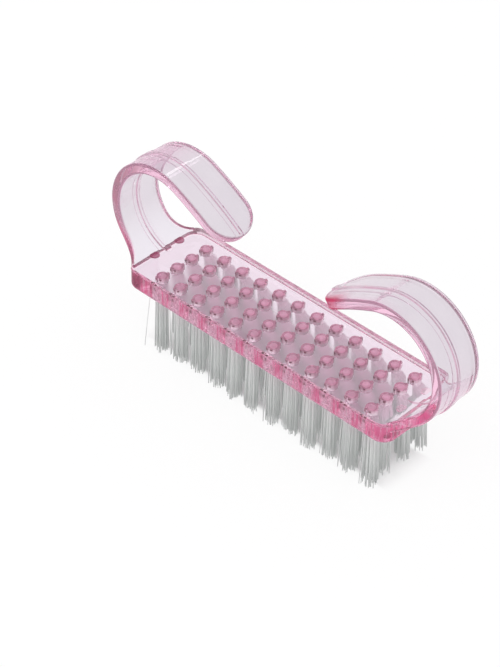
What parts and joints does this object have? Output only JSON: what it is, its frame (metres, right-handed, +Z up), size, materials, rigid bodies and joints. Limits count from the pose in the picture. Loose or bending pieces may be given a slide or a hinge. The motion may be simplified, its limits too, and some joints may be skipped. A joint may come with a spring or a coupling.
{
  "type": "nail brush",
  "caption": "Double-ended finger-loop nail brush: a slim clear block with a curled finger loop at each end and short staple-set bristle tufts under it.",
  "frame": {"origin": "centre of the plane of the tuft tips, on which the brush stands", "axes": "+X along the slab from one finger loop to the other, +Y across the slab, +Z up from the tuft tips to the crowns of the loops"},
  "size_m": [0.065, 0.015, 0.032],
  "materials": {
    "clear_pink": "clear, tinted pink, polished",
    "nylon": "translucent white monofilament",
    "anchor_metal": "plain flat wire"
  },
  "bodies": {
    "root": {"body": "clear_pink", "tuft_r1_c01": "nylon", "tuft_r1_c02": "nylon", "tuft_r1_c03": "nylon", "tuft_r1_c04": "nylon", "tuft_r1_c05": "nylon", "tuft_r1_c06": "nylon", "tuft_r1_c07": "nylon", "tuft_r1_c08": "nylon", "tuft_r1_c09": "nylon", "tuft_r1_c10": "nylon", "tuft_r1_c11": "nylon", "tuft_r1_c12": "nylon", "tuft_r2_c01": "nylon", "tuft_r2_c02": "nylon", "tuft_r2_c03": "nylon", "tuft_r2_c04": "nylon", "tuft_r2_c05": "nylon", "tuft_r2_c06": "nylon", "tuft_r2_c07": "nylon", "tuft_r2_c08": "nylon", "tuft_r2_c09": "nylon", "tuft_r2_c10": "nylon", "tuft_r2_c11": "nylon", "tuft_r2_c12": "nylon", "tuft_r3_c01": "nylon", "tuft_r3_c02": "nylon", "tuft_r3_c03": "nylon", "tuft_r3_c04": "nylon", "tuft_r3_c05": "nylon", "tuft_r3_c06": "nylon", "tuft_r3_c07": "nylon", "tuft_r3_c08": "nylon", "tuft_r3_c09": "nylon", "tuft_r3_c10": "nylon", "tuft_r3_c11": "nylon", "tuft_r3_c12": "nylon", "tuft_r4_c01": "nylon", "tuft_r4_c02": "nylon", "tuft_r4_c03": "nylon", "tuft_r4_c04": "nylon", "tuft_r4_c05": "nylon", "tuft_r4_c06": "nylon", "tuft_r4_c07": "nylon", "tuft_r4_c08": "nylon", "tuft_r4_c09": "nylon", "tuft_r4_c10": "nylon", "tuft_r4_c11": "nylon", "tuft_r4_c12": "nylon", "anchors_r1": "anchor_metal", "anchors_r2": "anchor_metal", "anchors_r3": "anchor_metal", "anchors_r4": "anchor_metal"}
  },
  "joints": []
}
